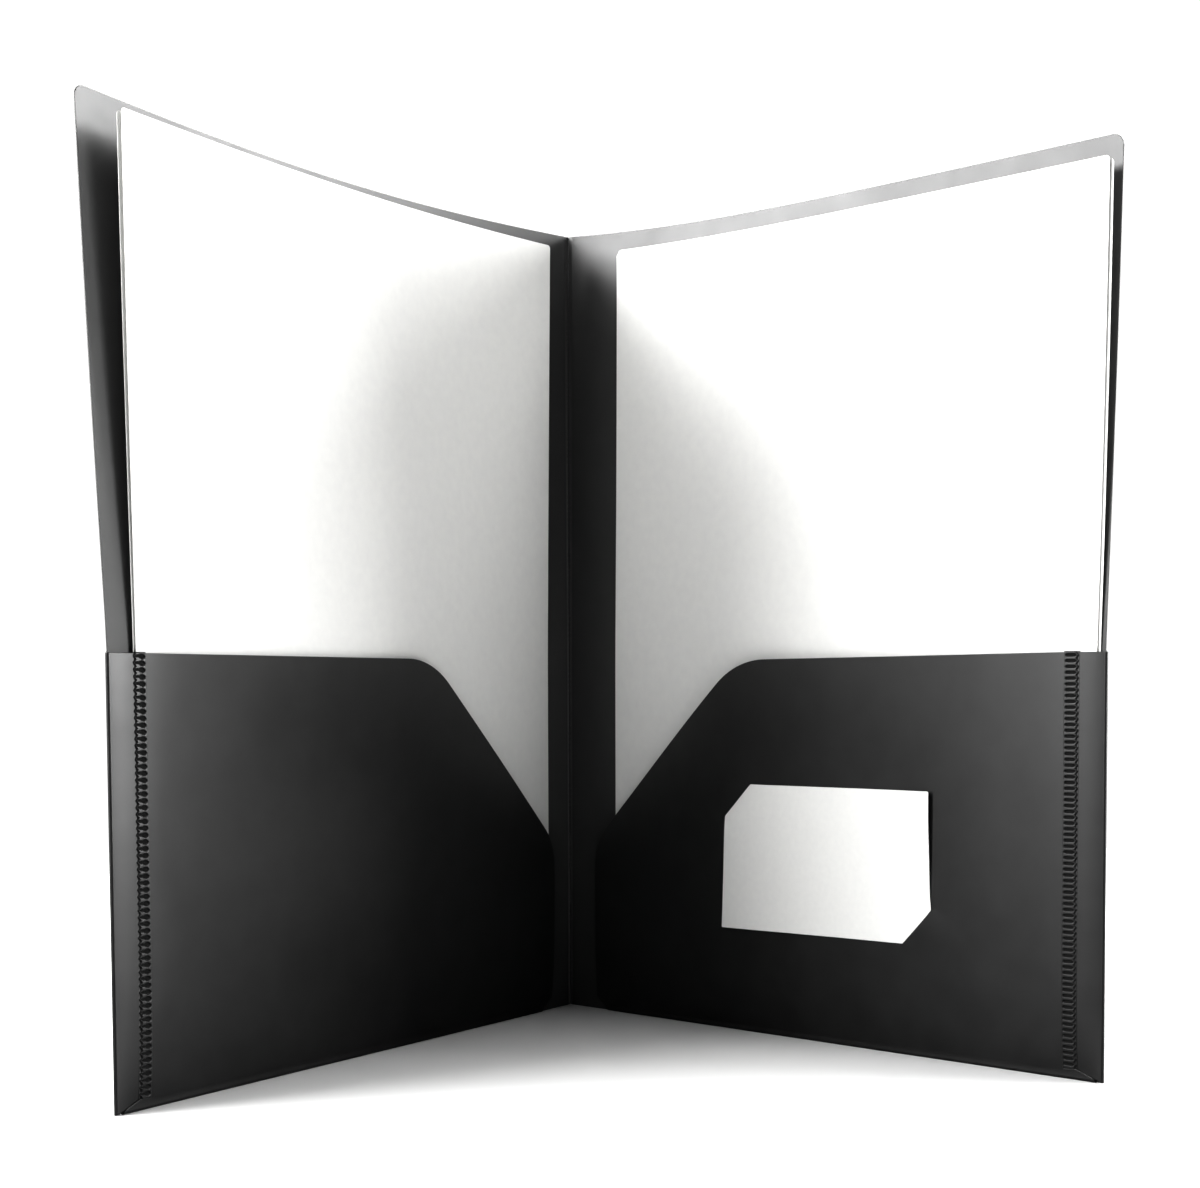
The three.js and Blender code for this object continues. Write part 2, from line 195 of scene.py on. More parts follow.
def outwardOf(loop):     # an outline runs anticlockwise, and a hole the other way
    along = np.roll(loop, -1, axis=0) - np.roll(loop, 1, axis=0)
    out = np.stack([along[:, 1], -along[:, 0]], axis=1)
    return out / np.linalg.norm(out, axis=1)[:, None]


def insideLoop(points, loop):
    inside = np.zeros(len(points), bool)
    for (x0, y0), (x1, y1) in zip(loop, np.roll(loop, -1, axis=0)):
        crosses = (y0 > points[:, 1]) != (y1 > points[:, 1])
        if y1 != y0:
            inside ^= crosses & (points[:, 0] < (x1 - x0) * (points[:, 1] - y0) / (y1 - y0) + x0)
    return inside


def clearOf(points, loop, least):
    near = np.full(len(points), 1e9)
    for i in range(0, len(loop), 64):
        near = np.minimum(near, np.linalg.norm(points[:, None] - loop[None, i:i + 64], axis=2).min(1))
    return near > least


def filledSheet(loops, inner):     # triangles over an outline with holes, through the inner points
    points = np.vstack([*loops, inner])
    edges, first = [], 0
    for loop in loops:
        edges += [(first + i, first + (i + 1) % len(loop)) for i in range(len(loop))]
        first += len(loop)
    _, _, faces, source, _, _ = delaunay_2d_cdt([Vector(p) for p in points], edges, [], 2, 1e-6)
    return points, np.array([[source[i][0] for i in face] for face in faces])


def gridSheet(columns, rows):     # the same from a plain grid, with its outline
    wide, high = len(columns), len(rows)
    s, z = np.meshgrid(columns, rows)
    at = np.arange(wide * high).reshape(high, wide)
    a, b, c, d = at[:-1, :-1].ravel(), at[:-1, 1:].ravel(), at[1:, 1:].ravel(), at[1:, :-1].ravel()
    loop = np.concatenate([at[0, :], at[1:, -1], at[-1, -2::-1], at[-2:0:-1, 0]])
    triangles = np.vstack([np.stack([a, b, c], 1), np.stack([a, c, d], 1)])
    return np.stack([s.ravel(), z.ravel()], axis=1), triangles, loop


def halfWall(s, z, face):
    return np.full(np.shape(s), folder["wall"] / 2)


# Gives a sheet its two faces and a rounded rim. place bends it, offsets is the distance of each face from its
# middle, loops holds (indices, outward directions, rim radii), and marks are values for the materials.
def thicken(name, side, points, triangles, loops, place, offsets, marks=None):
    sign = side["sign"]
    nearStep, farStep = 0.02, 0.04      # steps for the slopes
    rimTurns = ((1, 40), (1, 90), (-1, 90), (-1, 40))     # face, and degrees round the rim from it

    def middle(s, z):
        return toWorld(side, *place(s, z))

    def tangents(surface, s, z, h):
        along = (surface(s + h, z) - surface(s - h, z)) / (2 * h)
        up = (surface(s, z + h) - surface(s, z - h)) / (2 * h)
        return along, up

    def normalOf(surface, s, z, h):
        along, up = tangents(surface, s, z, h)
        normal = -sign * np.cross(along, up)
        return normal / np.linalg.norm(normal, axis=1)[:, None]

    def skin(face):
        def surface(s, z):
            off = face * offsets(s, z, face)
            return middle(s, z) + normalOf(middle, s, z, nearStep) * off[:, None]
        return surface

    s, z = points[:, 0], points[:, 1]
    verts, normals, faces = [], [], []
    for face in (1, -1):
        verts.append(skin(face)(s, z))
        normals.append(face * normalOf(skin(face), s, z, farStep))
    count = len(points)
    front = triangles[:, ::-1] if sign > 0 else triangles
    faces += front.tolist() + (front[:, ::-1] + count).tolist()
    at = 2 * count
    rimPoints = []
    for indices, outward, radius in loops:
        ls, lz = s[indices], z[indices]
        normal = normalOf(middle, ls, lz, nearStep)
        along, up = tangents(middle, ls, lz, nearStep)
        out = along * outward[:, :1] + up * outward[:, 1:]
        out /= np.linalg.norm(out, axis=1)[:, None]
        base = middle(ls, lz)
        rows = [indices]
        for face, turn in rimTurns:
            facing, sideways = math.cos(math.radians(turn)), math.sin(math.radians(turn))
            off, r = offsets(ls, lz, face)[:, None], radius[:, None]
            verts.append(base + face * normal * (off - r * (1 - facing)) + out * r * sideways)
            normals.append(face * normal * facing + out * sideways)
            rows.append(at + np.arange(len(indices)))
            rimPoints.append(indices)
            at += len(indices)
        rows.append(indices + count)
        for upper, lower in zip(rows, rows[1:]):
            quads = np.stack([upper, lower, np.roll(lower, -1), np.roll(upper, -1)], axis=1)
            faces += (quads if sign < 0 else quads[:, ::-1]).tolist()
    mesh = bpy.data.meshes.new(name)
    mesh.from_pydata((np.vstack(verts) * mm).tolist(), [], faces)
    mesh.shade_smooth()
    mesh.normals_split_custom_set_from_vertices(np.vstack(normals).tolist())
    for mark, value in (marks or {}).items():
        base = value(s, z)
        values = np.concatenate([base, base * 0, *[base[i] for i in rimPoints]])
        mesh.attributes.new(mark, "FLOAT", "POINT").data.foreach_set("value", values.astype(np.float32))
    piece = bpy.data.objects.new(name, mesh)
    bpy.context.scene.collection.objects.link(piece)
    return piece


# A cut panel. corners is the outline and its radii, pitch the spacing along s, along z and along the outline,
# and zones are finer stretches of s and of z.
def panel(name, side, corners, place, pitch, rim, offsets=halfWall, holes=(), zones=((), ()), rimAt=None,
          marks=None):
    loops, inset = [roundedLoop(corners, pitch[2]), *holes], []
    for loop in loops:
        out = outwardOf(loop)
        radius = np.full(len(loop), rim) if rimAt is None else rimAt(loop[:, 0], loop[:, 1])
        inset.append((loop - out * radius[:, None], out, radius))
    low, high = loops[0].min(0), loops[0].max(0)
    grid = np.stack(np.meshgrid(graded(low[0], high[0], pitch[0], zones[0]),
                                graded(low[1], high[1], pitch[1], zones[1])), axis=-1).reshape(-1, 2)
    keep = insideLoop(grid, inset[0][0])
    for hole, _, _ in inset[1:]:
        keep &= ~insideLoop(grid, hole)
    grid = grid[keep]
    least = 0.3 * min(pitch[:2])     # no sliver of a triangle beside the rim
    for loop, _, _ in inset:
        grid = grid[clearOf(grid, loop, least)]
    points, triangles = filledSheet([loop for loop, _, _ in inset], grid)
    indexed, first = [], 0
    for loop, out, radius in inset:
        indexed.append((first + np.arange(len(loop)), out, radius))
        first += len(loop)
    return thicken(name, side, points, triangles, indexed, place, offsets, marks)


# Colours and nodes

def srgb(code):
    parts = [int(code[i:i + 2], 16) / 255 for i in (1, 3, 5)]
    return [p / 12.92 if p <= 0.04045 else ((p + 0.055) / 1.055) ** 2.4 for p in parts] + [1.0]


# settings are sockets or properties, links are (socket, other node, its output)
def addNode(tree, kind, settings=None, links=None, at=(0, 0)):
    node = tree.nodes.new(kind)
    node.location = at
    for key, value in (settings or {}).items():
        if isinstance(key, int) or key in node.inputs:
            node.inputs[key].default_value = value
        else:
            setattr(node, key, value)
    for socket, other, output in links or ():
        tree.links.new(other.outputs[output], node.inputs[socket])
    return node


def newMaterial(name):
    material = bpy.data.materials.new(name)
    material.use_nodes = True
    tree = material.node_tree
    tree.nodes.clear()
    shader = addNode(tree, "ShaderNodeBsdfPrincipled", at=(300, 0))
    addNode(tree, "ShaderNodeOutputMaterial", links=[("Surface", shader, "BSDF")], at=(600, 0))
    return material, tree, shader


# Extruded polypropylene sheet, calendered: a deep black with a faint slow waviness that breaks up wide
# reflections. Its inner face is embossed matt, which gives a broad grey sheen, and its outer face, the one
# that shows on the pockets and flaps, has a satin gloss. Folding makes it glossier and a little lighter.
polypropylene = {
    "colour": "#171717", "mottle": "#252525", "strained": "#353535", "ior": 1.49,
    "satin": {"rough": (0.30, 0.46), "grainDepth": 0.012, "sheen": 0.0},
    "matt": {"rough": (0.34, 0.52), "grainDepth": 0.020, "sheen": 0.42},     # the sheen is its embossed haze
    "strainedRough": 0.26, "sheenRough": 0.5,
    "grain": 0.45,     # mm, drawn coarser than the real 0.1 so that it shows
    "mottling": 9.0, "glossPatches": 24.0, "waviness": 38.0,     # mm across
    "waveDepth": 0.10,
}


def extrudedPolypropylene(name, finish):
    look, face = polypropylene, polypropylene[finish]
    material, tree, shader = newMaterial(name)
    where = addNode(tree, "ShaderNodeTexCoord", at=(-1400, 0))
    strain = addNode(tree, "ShaderNodeAttribute", {"attribute_name": "strain"}, at=(-1150, 500))
    tone = addNode(tree, "ShaderNodeTexNoise", {"Scale": 1000 / look["mottling"], "Detail": 4.0},
                   [("Vector", where, "Object")], (-1150, 250))
    base = addNode(tree, "ShaderNodeMix",
                   {"data_type": "RGBA", 6: srgb(look["colour"]), 7: srgb(look["mottle"])},
                   [(0, tone, "Fac")], (-850, 250))
    worn = addNode(tree, "ShaderNodeMix", {"data_type": "RGBA", 7: srgb(look["strained"])},
                   [(0, strain, "Fac"), (6, base, 2)], (-500, 250))
    patches = addNode(tree, "ShaderNodeTexNoise",
                      {"Scale": 1000 / look["glossPatches"], "Detail": 5.0, "Roughness": 0.6},
                      [("Vector", where, "Object")], (-1150, -50))
    rough = addNode(tree, "ShaderNodeMapRange", {"To Min": face["rough"][0], "To Max": face["rough"][1]},
                    [("Value", patches, "Fac")], (-850, -50))
    gloss = addNode(tree, "ShaderNodeMix", {"data_type": "FLOAT", 3: look["strainedRough"]},
                    [(0, strain, "Fac"), (2, rough, "Result")], (-500, -50))
    wave = addNode(tree, "ShaderNodeTexNoise", {"Scale": 1000 / look["waviness"], "Detail": 1.0},
                   [("Vector", where, "Object")], (-1150, -650))
    slow = addNode(tree, "ShaderNodeBump", {"Strength": 0.25, "Distance": look["waveDepth"] * mm},
                   [("Height", wave, "Fac")], (-500, -650))
    grain = addNode(tree, "ShaderNodeTexVoronoi",
                    {"feature": "SMOOTH_F1", "Scale": 1000 / look["grain"], "Smoothness": 0.6},
                    [("Vector", where, "Object")], (-1150, -350))
    fine = addNode(tree, "ShaderNodeBump", {"Strength": 0.35, "Distance": face["grainDepth"] * mm},
                   [("Height", grain, "Distance"), ("Normal", slow, "Normal")], (-200, -400))
    shader.inputs["IOR"].default_value = look["ior"]
    shader.inputs["Sheen Weight"].default_value = face["sheen"]
    shader.inputs["Sheen Roughness"].default_value = look["sheenRough"]
    tree.links.new(worn.outputs[2], shader.inputs["Base Color"])
    tree.links.new(gloss.outputs[0], shader.inputs["Roughness"])
    tree.links.new(fine.outputs["Normal"], shader.inputs["Normal"])
    return material


# Bond paper, uncoated and calendered lightly: matt, nearly white, cloudy where the fibres lie denser,
# with a faint tooth.
bondPaper = {
    "colour": "#e0e0de", "cloud": "#d8d8d7", "rough": 0.88, "ior": 1.45,
    "fibre": 0.7, "clouds": 3.5, "tooth": 0.010,     # mm
}


def uncoatedBondPaper():
    look = bondPaper
    material, tree, shader = newMaterial("uncoatedBondPaper")
    where = addNode(tree, "ShaderNodeTexCoord", at=(-1200, 0))
    cloud = addNode(tree, "ShaderNodeTexNoise", {"Scale": 1000 / look["clouds"], "Detail": 3.0},
                    [("Vector", where, "Object")], (-950, 200))
    base = addNode(tree, "ShaderNodeMix",
                   {"data_type": "RGBA", 6: srgb(look["cloud"]), 7: srgb(look["colour"])},
                   [(0, cloud, "Fac")], (-700, 200))
    fibre = addNode(tree, "ShaderNodeTexNoise",
                    {"Scale": 1000 / look["fibre"], "Detail": 6.0, "Roughness": 0.7},
                    [("Vector", where, "Object")], (-950, -200))
    tooth = addNode(tree, "ShaderNodeBump", {"Strength": 0.4, "Distance": look["tooth"] * mm},
                    [("Height", fibre, "Fac")], (-400, -200))
    shader.inputs["Roughness"].default_value = look["rough"]
    shader.inputs["IOR"].default_value = look["ior"]
    tree.links.new(base.outputs[2], shader.inputs["Base Color"])
    tree.links.new(tooth.outputs["Normal"], shader.inputs["Normal"])
    return material


# Card stock, pressed smooth: a little greyer and sleeker than the paper.
cardStock = {
    "colour": "#d8d8d6", "cloud": "#d0d0cf", "rough": 0.55, "ior": 1.5,
    "clouds": 2.0, "tooth": 0.008,     # mm
}


def smoothCardStock():
    look = cardStock
    material, tree, shader = newMaterial("smoothCardStock")
    where = addNode(tree, "ShaderNodeTexCoord", at=(-1200, 0))
    cloud = addNode(tree, "ShaderNodeTexNoise", {"Scale": 1000 / look["clouds"], "Detail": 4.0},
                    [("Vector", where, "Object")], (-950, 200))
    base = addNode(tree, "ShaderNodeMix",
                   {"data_type": "RGBA", 6: srgb(look["cloud"]), 7: srgb(look["colour"])},
                   [(0, cloud, "Fac")], (-700, 200))
    tooth = addNode(tree, "ShaderNodeBump", {"Strength": 0.3, "Distance": look["tooth"] * mm},
                    [("Height", cloud, "Fac")], (-400, -200))
    shader.inputs["Roughness"].default_value = look["rough"]
    shader.inputs["IOR"].default_value = look["ior"]
    tree.links.new(base.outputs[2], shader.inputs["Base Color"])
    tree.links.new(tooth.outputs["Normal"], shader.inputs["Normal"])
    return material


# Polypropylene melted by the welding comb: satin on the ribs and dull in the pits, whose colour is painted
# near black as shade.
weldedPolypropylene = {
    # pit is a painted shade colour for the hollows of the pits
    "colour": "#1c1c1c", "pit": "#030303", "ior": 1.49, "rough": 0.38, "pitRough": 0.95,
    "lumps": 0.9, "lumpDepth": 0.05,     # mm
}


def heatWeldedPolypropylene():
    look = weldedPolypropylene
    material, tree, shader = newMaterial("heatWeldedPolypropylene")
    where = addNode(tree, "ShaderNodeTexCoord", at=(-1200, 0))
    # the pit mask darkens the pits' colour as painted shade and makes them rougher
    pitShadeAndMelt = addNode(tree, "ShaderNodeAttribute", {"attribute_name": "pitShadeAndMelt"}, at=(-950, 300))
    base = addNode(tree, "ShaderNodeMix",
                   {"data_type": "RGBA", 6: srgb(look["colour"]), 7: srgb(look["pit"])},
                   [(0, pitShadeAndMelt, "Fac")], (-600, 300))
    rough = addNode(tree, "ShaderNodeMapRange", {"To Min": look["rough"], "To Max": look["pitRough"]},
                    [("Value", pitShadeAndMelt, "Fac")], (-600, 0))
    lump = addNode(tree, "ShaderNodeTexNoise", {"Scale": 1000 / look["lumps"], "Detail": 3.0},
                   [("Vector", where, "Object")], (-950, -300))
    bump = addNode(tree, "ShaderNodeBump", {"Strength": 0.5, "Distance": look["lumpDepth"] * mm},
                   [("Height", lump, "Fac")], (-400, -300))
    shader.inputs["IOR"].default_value = look["ior"]
    tree.links.new(base.outputs[2], shader.inputs["Base Color"])
    tree.links.new(rough.outputs["Result"], shader.inputs["Roughness"])
    tree.links.new(bump.outputs["Normal"], shader.inputs["Normal"])
    return material


satinBlack = extrudedPolypropylene("satinExtrudedPolypropylene", "satin")
mattBlack = extrudedPolypropylene("mattExtrudedPolypropylene", "matt")
weldBlack = heatWeldedPolypropylene()
paperWhite = uncoatedBondPaper()
cardWhite = smoothCardStock()
print("materials made")


def finishPiece(piece, body, nodes, material, side=None, backMaterial=None):
    piece.data.materials.append(material)
    if backMaterial:     # the other face of the sheet is finished differently
        piece.data.materials.append(backMaterial)
        inward = toWorld(side, 0.0, 1.0, 0.0) - toWorld(side, 0.0, 0.0, 0.0)
        normals = np.empty(len(piece.data.polygons) * 3, np.float32)
        piece.data.polygons.foreach_get("normal", normals)
        outer = (normals.reshape(-1, 3) @ inward < 0).astype(np.int32)
        piece.data.polygons.foreach_set("material_index", outer)
    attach(piece, body)
    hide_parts(*nodes)
    print(piece.name, len(piece.data.polygons), "faces")


# Covers, scored along the crease and running into the side folds
coverLook = {
    "pitch": (2.2, 2.2, 2.0), "rim": 0.13,
    "sideStep": 0.3, "stepRise": 0.6,                            # the free edge stands in above the side fold
    "creaseCorner": 0.2, "creaseReach": 0.25,                    # and the rim is sharp beside the crease
    "scoreDepth": 0.20, "scoreWidth": 0.85, "outerDip": 0.03,    # the groove inside, and the dip behind it
    "lip": 0.05, "lipAt": 1.7, "lipWidth": 0.55,                 # raised by the scoring rule
    "strain": (0.5, 0.35), "strainRun": 0.9,                     # stretched, at the crease and at the fold
    "footFrom": 22.0, "footTo": 240.6,                           # the stretch that the foot fold takes
    "zones": ((folder["creaseEdge"], 3.2, 0.3), (240, 242, 0.5)),
}


def makeCover(name, side):
    look, edge = coverLook, folder["creaseEdge"]
    joinTop = folder["pocketHeight"] + side["topRise"]
    freeEdge = foldRoot - look["sideStep"]
    corners = [
        (edge, 0, look["creaseCorner"]), (look["footFrom"], 0, 0), (look["footFrom"], footStart, 0),
        (look["footTo"], footStart, 0), (look["footTo"], 0, 0), (foldRoot, 0, 0),
        (foldRoot, joinTop, 0), (freeEdge, joinTop + look["stepRise"], 0),
        (freeEdge, folder["height"], folder["corner"]), (edge, folder["height"], look["creaseCorner"]),
    ]

    def place(s, z):
        cs, cn, cz = curled(side, s, 0 * s, z)
        return cs, cn - leanAt(side, s, z), cz

    def offsets(s, z, face):
        near = np.exp(-((s - edge) / look["scoreWidth"]) ** 2)
        lip = np.exp(-((s - edge - look["lipAt"]) / look["lipWidth"]) ** 2)
        if face > 0:
            return folder["wall"] / 2 - look["scoreDepth"] * near + look["lip"] * lip
        return folder["wall"] / 2 - look["outerDip"] * near

    def rimAt(s, z):
        joined = ((s > foldRoot - touching) & (z < joinTop + touching)) | (np.abs(z - footStart) < touching)
        return np.where(joined | (s < edge + look["creaseReach"]), joinRim, look["rim"])

    def strain(s, z):
        creased = np.exp(-((s - edge) / look["strainRun"]) ** 2)
        folded = np.exp(-((foldRoot - s) / look["strainRun"]) ** 2) * (z < joinTop)
        return np.clip(look["strain"][0] * creased + look["strain"][1] * folded, 0, 1)

    piece = panel(name + "CoverPanel", side, corners, place, look["pitch"], look["rim"], offsets=offsets,
                  zones=(look["zones"], ()), rimAt=rimAt, marks={"strain": strain})
    finishPiece(piece, name + "_half", [name + "_cover"], mattBlack, side, satinBlack)


# Foot fold: the half round that turns the pocket panel up, mitred towards the side fold
footLook = {"rim": 0.1, "pitch": (1.5, 0.2), "strain": 0.5, "strainRun": 0.8}


def makeFoot(name, side):
    look, radius = footLook, folder["footTop"] / 2
    length = math.pi * radius
    start, end = coverLook["footFrom"] + look["rim"], coverLook["footTo"] - look["rim"]

    def place(s, t):     # t runs round the fold, from the cover to the pocket panel
        turn = t / radius
        z = footStart - radius * np.sin(turn)
        return s, radius - radius * np.cos(turn) - leanAt(side, s, z), z

    def strain(s, t):
        return look["strain"] * np.exp(-((t - length / 2) / look["strainRun"]) ** 2)

    columns, rows = spread(start, end, look["pitch"][0]), spread(0, length, look["pitch"][1])
    points, triangles, loop = gridSheet(columns, rows)
    edge = points[loop]
    free = (edge[:, 0] < start + touching) | (edge[:, 0] > end - touching)
    between = (edge[:, 1] > touching) & (edge[:, 1] < length - touching)
    rims = np.where(free & between, look["rim"], joinRim)
    piece = thicken(name + "FootFold", side, points, triangles, [(loop, outwardOf(edge), rims)], place,
                    halfWall, {"strain": strain})
    finishPiece(piece, name + "_half", [name + "_bottom_fold"], satinBlack)


# Side flap: rolled over at the side edge, then lying under the pocket panel's edge
flapLook = {
    "width": 16.0, "rim": 0.13,
    "mitreStart": 0.5, "mitreRise": 0.25,                        # the mitre's height at the fold, its slope
    "pitch": (1.6, 2.0), "rollPitch": 0.12, "rollMargin": 0.3, "strain": 0.8, "strainShare": 0.38,
}


def makeFlap(name, side):
    look, radius = flapLook, folder["foldRadius"]
    roll = math.pi * radius
    top = folder["pocketHeight"] + side["topRise"]
    rim, end = look["rim"], roll + look["width"]

    def place(u, z):     # u runs round the fold and on along the flap
        turn = np.minimum(u, roll) / radius - math.pi / 2
        s = foldRoot + radius * np.cos(turn) - np.maximum(u - roll, 0)
        rise = flapRise(s) * grown(z) * (u > roll)
        return s, radius + radius * np.sin(turn) + rise - leanAt(side, s, z), z

    def strain(u, z):
        return look["strain"] * np.exp(-((u - roll / 2) / (roll * look["strainShare"])) ** 2)

    columns = graded(0, end - rim, look["pitch"][0], ((0, roll + look["rollMargin"], look["rollPitch"]),))
    points, triangles, loop = gridSheet(columns, spread(0, 1, look["pitch"][1] / top))
    u = points[:, 0]
    foot = np.where(u < roll, look["mitreStart"] * np.clip(u / roll, 0, 1) ** 2,
                    look["mitreStart"] + look["mitreRise"] * (u - roll)) + rim
    points[:, 1] = foot + points[:, 1] * (top - rim - foot)
    edge = points[loop]
    rims = np.where(edge[:, 0] < touching, joinRim, rim)
    piece = thicken(name + "SideFlap", side, points, triangles, [(loop, outwardOf(edge), rims)], place,
                    halfWall, {"strain": strain})
    finishPiece(piece, name + "_half", [name + "_side_flap"], satinBlack)


# Welds: a ladder of pits pressed through panel and flap, wider at the inner end on the left and even on the
# right, with a scalloped melted edge outside. The pits' colour is painted darker as shade.
welds = {
    "left": {
        "bars": 65, "inner": 230.5, "edge": 234.05,                  # where the ladder starts and ends
        "bulb": (1.15, 1.2, 0.70), "tail": (1.6, 3.1, 0.36),         # a pit's round end, and its slot
        "lump": 3.5, "depth": 0.42, "rib": 0.04, "tilt": 0.05, "drop": 0.55,
    },
    "right": {
        "bars": 72, "inner": 229.2, "edge": 233.4, "bulb": (1.3, 1.2, 0.50), "tail": (0.6, 3.3, 0.48),
        "lump": 3.9, "depth": 0.42, "rib": 0.06, "tilt": 0.0, "drop": 0.45,
    },
}
weldLook = {
    "lowest": 4.8, "endMargin": 0.9,               # the first bar's height, and the last bar under the top
    "margin": 0.55, "skirt": 0.6,                  # the seam past the ladder, on its inner and outer side
    "above": 0.25, "below": 0.85,                  # over the pocket's top, and in bars under the first
    "back": 0.82,                                  # reaches back into the flap
    "ridge": (0.12, 0.3, 0.05),                    # along the inner side: how far in, its width and height
    "innerDip": (0.3, 0.25, 0.14),                 # past it, the run and the depth
    "scallop": 0.25, "outerDip": (0.15, 0.4),      # the wavy outer edge, where it starts to drop and its run
    "topDip": 0.3, "footDip": (0.3, 0.15),
    # the small lump takes this share of the pits' painted shade and roughness
    "pitEdge": (1.15, 0.35), "lumpEdge": (1.2, 0.6), "lumpSize": 0.3, "lumpDepth": 0.16, "lumpShadeAndMelt": 0.7,
    "tiltFrom": 2.0, "farOff": 9.0,                # where a bar tilts about, and the stand-in for no bar
    "pitch": 0.2, "rowsPerBar": 10, "rim": 0.02,
}


# Pocket panels. The right one has two knife slits for the card, with one lip up and the other down.
pocketLook = {
    "pitch": (2.0, 2.0, 1.5), "rim": 0.14,
    "stepHeight": 63.5, "stepEdge": 94.0,        # the sloping inner side, and its two rounded corners
    "stepRadius": 34.0, "innerRadius": 20.0,
    "reliefWidth": 5.0, "reliefHeight": 4.0,     # cut away at the foot, beside the crease
    "seamFoot": 3.2, "earFoot": 3.6,             # the mitre's height at the seam
    "seamGap": 0.1, "earReach": 0.35,            # the panel ends beside the welds, and its ear past them
    "reliefCorner": 0.5, "earCorner": 0.8, "topCorner": 0.3,
    "strain": 0.25, "strainRun": 1.2,            # along the foot
    "slitZones": (((84, 106, 0.8), (161, 183, 0.8)), ((32, 54, 0.8), (72, 93, 0.8))),
}
card = {
    "from": 89.0, "low": 37.4, "width": 88.9, "height": 50.8,
    "wall": 0.3, "pitch": (1.2, 1.2, 1.2), "rim": 0.08, "corner": 0.4,
    "tuck": 11.43,                       # the corner that a slit takes in
    "over": 0.5, "run": 3.0,             # it lies over the pocket, and dips at a slit
    "freeRise": 1.6, "farRise": 1.4,     # its two free corners spring off
    "farFrom": (60, 12), "farRun": (28.9, 30),
}
slit = {"width": 0.7, "overrun": (4.2, 2.4), "lip": (0.34, 0.22), "lipEdge": 0.22, "run": 5.0, "pitch": 0.6}
slitHalf = [card["tuck"] / math.sqrt(2) + overrun for overrun in slit["overrun"]]
slitCentres = [(card["from"] + card["tuck"] / 2, card["low"] + card["height"] - card["tuck"] / 2),
               (card["from"] + card["width"] - card["tuck"] / 2, card["low"] + card["tuck"] / 2)]


def slitFrame(s, z):     # distance across each slit, positive towards the card's middle, and along it
    return [(way * ((s - cs) - (z - cz)) / math.sqrt(2), ((s - cs) + (z - cz)) / math.sqrt(2))
            for (cs, cz), way in zip(slitCentres, (1, -1))]


def lips(s, z):
    rise = 0 * s
    for (across, along), half, lip in zip(slitFrame(s, z), slitHalf, slit["lip"]):
        window = np.clip(1 - np.abs(along / half) ** 2, 0, 1)
        fade = np.exp(-(across / slit["run"]) ** 2)
        rise = rise - lip * np.tanh(across / slit["lipEdge"]) * fade * window
    return rise


def slitLoop(centre, reach):     # a slanting slot with round ends, as a hole
    slant, half, steps = math.pi / 4, reach - slit["width"] / 2, 6

    def onEnd(end, k):
        a = slant + (0 if end > 0 else math.pi) - math.pi / 2 + math.pi * k / steps
        return (centre[0] + end * half * math.cos(slant) + slit["width"] / 2 * math.cos(a),
                centre[1] + end * half * math.sin(slant) + slit["width"] / 2 * math.sin(a))

    points = []
    for end in (1, -1):
        points.extend(onEnd(end, k) for k in range(steps + 1))
        here, there = np.array(points[-1]), np.array(onEnd(-end, 0))
        count = math.ceil(np.linalg.norm(there - here) / slit["pitch"])
        points.extend(tuple(here + (there - here) * k / count) for k in range(1, count))
    return np.array(points)[::-1]


def makePocket(name, side):
    top = folder["pocketHeight"] + side["topRise"]
    hasCard = name == "right"
    look, start = pocketLook, folder["pocketStart"]
    seamEdge, earEdge = welds[name]["inner"] - look["seamGap"], welds[name]["edge"] + look["earReach"]
    corners = [
        (start, footStart + look["reliefHeight"], look["reliefCorner"]),
        (start + look["reliefWidth"], footStart, 0), (coverLook["footTo"], footStart, 0),
        (earEdge, look["earFoot"], look["earCorner"]), (seamEdge, look["seamFoot"], 0),
        (seamEdge, top, look["topCorner"]), (look["stepEdge"], folder["pocketHeight"], look["stepRadius"]),
        (start, look["stepHeight"], look["innerRadius"]),
    ]

    def place(s, z):
        n = pocketMiddle(side, s, z)
        return s, n + lips(s, z) if hasCard else n, z

    def rimAt(s, z):
        joined = (z < footStart + touching) & (s > start + look["reliefWidth"] - touching)
        return np.where(joined, joinRim, look["rim"])

    def strain(s, z):
        return look["strain"] * np.exp(-((z - footStart) / look["strainRun"]) ** 2)

    holes = [slitLoop(centre, reach) for centre, reach in zip(slitCentres, slitHalf)] if hasCard else []
    piece = panel(name + "PocketPanel", side, corners, place, look["pitch"], look["rim"], holes=holes,
                  zones=look["slitZones"] if hasCard else ((), ()), rimAt=rimAt, marks={"strain": strain})
    finishPiece(piece, name + "_half", [name + "_pocket"], satinBlack)


